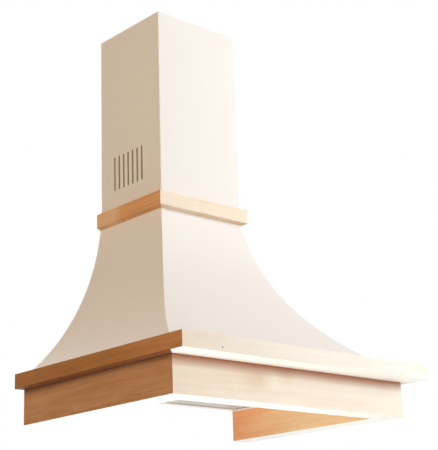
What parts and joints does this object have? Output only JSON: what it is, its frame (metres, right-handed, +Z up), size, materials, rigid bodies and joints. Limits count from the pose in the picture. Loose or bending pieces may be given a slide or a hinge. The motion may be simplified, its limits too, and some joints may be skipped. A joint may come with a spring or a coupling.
{
  "type": "range hood",
  "caption": "Wall range hood with a flared painted-steel dome, sliding flue cover, beech belt, cornice and apron, tilting mesh filters, blower with damper, lamps and buttons.",
  "frame": {"origin": "middle of the upper pair of wall holes, on the wall plane", "axes": "+Z up, +Y into the wall, -Y towards the cook, +X to the right of someone facing the hood"},
  "size_m": [0.7, 0.559, 0.9515],
  "materials": {
    "ivory_enamel": "satin powder coat on folded steel",
    "lacquered_beech": "clear satin lacquer",
    "brushed_steel_tray": "brushed",
    "galvanised_sheet": "zinc coated",
    "filter_aluminium": "natural",
    "black_plastic": "moulded",
    "grey_plastic": "moulded",
    "motor_shell": "painted",
    "plated_steel": "bright zinc plating",
    "lamp_glass": "frosted",
    "bulb_glass": "clear",
    "lamp_trim": "polished",
    "button_chrome": "satin silver"
  },
  "bodies": {
    "hood": {"dome_front_panel": "ivory_enamel", "dome_left_panel": "ivory_enamel", "dome_right_panel": "ivory_enamel", "dome_back_panel": "ivory_enamel", "belt_left": "lacquered_beech", "belt_front": "lacquered_beech", "belt_right": "lacquered_beech", "cornice_left": "lacquered_beech", "cornice_front": "lacquered_beech", "cornice_right": "lacquered_beech", "apron_left": "lacquered_beech", "apron_front": "lacquered_beech", "apron_right": "lacquered_beech", "base_tray": "brushed_steel_tray", "volute_wrapper": "galvanised_sheet", "volute_left_plate": "galvanised_sheet", "volute_right_plate": "galvanised_sheet", "outlet_collar": "galvanised_sheet", "motor_bracket": "galvanised_sheet", "dome_screws": "plated_steel", "tray_screws": "plated_steel", "blower_screws": "plated_steel", "damper_pin": "plated_steel", "lamp_left_can": "filter_aluminium", "lamp_right_can": "filter_aluminium", "terminal_box": "black_plastic", "terminal_lid": "black_plastic", "cable_gland": "black_plastic", "control_bezel": "black_plastic", "switch_block": "black_plastic", "motor_housing": "motor_shell", "run_capacitor": "grey_plastic", "lamp_left_ring": "lamp_trim", "lamp_left_lens": "lamp_glass", "lamp_left_bulb": "bulb_glass", "lamp_right_ring": "lamp_trim", "lamp_right_lens": "lamp_glass", "lamp_right_bulb": "bulb_glass"},
    "chimney": {"chimney_cover": "ivory_enamel", "chimney_bracket": "galvanised_sheet", "chimney_screws": "plated_steel"},
    "impeller": {"impeller_disc": "black_plastic", "impeller_left_cage": "black_plastic", "impeller_right_cage": "black_plastic", "motor_shaft": "plated_steel"},
    "damper_front": {"damper_front": "filter_aluminium"},
    "damper_rear": {"damper_rear": "filter_aluminium"},
    "filter_left": {"filter_left_frame": "filter_aluminium", "filter_left_mesh": "filter_aluminium"},
    "filter_right": {"filter_right_frame": "filter_aluminium", "filter_right_mesh": "filter_aluminium"},
    "latch_left": {"latch_left": "black_plastic"},
    "latch_right": {"latch_right": "black_plastic"},
    "button_1": {"button_1": "button_chrome"},
    "button_2": {"button_2": "button_chrome"},
    "button_3": {"button_3": "button_chrome"},
    "button_4": {"button_4": "button_chrome"},
    "button_5": {"button_5": "button_chrome"}
  },
  "joints": [
    {"name": "chimney_slide", "type": "slide", "parent": "hood", "child": "chimney", "axis": [0, 0, 1], "range_m": [-0.25, 0.02]},
    {"name": "impeller_spin", "type": "hinge", "parent": "hood", "child": "impeller", "pos_m": [0, -0.108, -0.225], "axis": [1, 0, 0], "continuous": true},
    {"name": "damper_front_swing", "type": "hinge", "parent": "hood", "child": "damper_front", "pos_m": [0, -0.1505, -0.0948], "axis": [-1, 0, 0], "range_deg": [0, 80]},
    {"name": "damper_rear_swing", "type": "hinge", "parent": "hood", "child": "damper_rear", "pos_m": [0, -0.1505, -0.0948], "axis": [1, 0, 0], "range_deg": [0, 80]},
    {"name": "filter_left_tilt", "type": "hinge", "parent": "hood", "child": "filter_left", "pos_m": [-0.136, -0.025, -0.37115], "axis": [1, 0, 0], "range_deg": [0, 70]},
    {"name": "latch_left_slide", "type": "slide", "parent": "filter_left", "child": "latch_left", "axis": [0, 1, 0], "range_m": [0, 0.005], "stiffness_N_per_m": 400, "springref_m": -0.01},
    {"name": "filter_right_tilt", "type": "hinge", "parent": "hood", "child": "filter_right", "pos_m": [0.136, -0.025, -0.37115], "axis": [1, 0, 0], "range_deg": [0, 70]},
    {"name": "latch_right_slide", "type": "slide", "parent": "filter_right", "child": "latch_right", "axis": [0, 1, 0], "range_m": [0, 0.005], "stiffness_N_per_m": 400, "springref_m": -0.01},
    {"name": "button_1_press", "type": "slide", "parent": "hood", "child": "button_1", "axis": [0, 0, 1], "range_m": [0, 0.003], "stiffness_N_per_m": 300, "springref_m": -0.004},
    {"name": "button_2_press", "type": "slide", "parent": "hood", "child": "button_2", "axis": [0, 0, 1], "range_m": [0, 0.003], "stiffness_N_per_m": 300, "springref_m": -0.004},
    {"name": "button_3_press", "type": "slide", "parent": "hood", "child": "button_3", "axis": [0, 0, 1], "range_m": [0, 0.003], "stiffness_N_per_m": 300, "springref_m": -0.004},
    {"name": "button_4_press", "type": "slide", "parent": "hood", "child": "button_4", "axis": [0, 0, 1], "range_m": [0, 0.003], "stiffness_N_per_m": 300, "springref_m": -0.004},
    {"name": "button_5_press", "type": "slide", "parent": "hood", "child": "button_5", "axis": [0, 0, 1], "range_m": [0, 0.003], "stiffness_N_per_m": 300, "springref_m": -0.004}
  ]
}
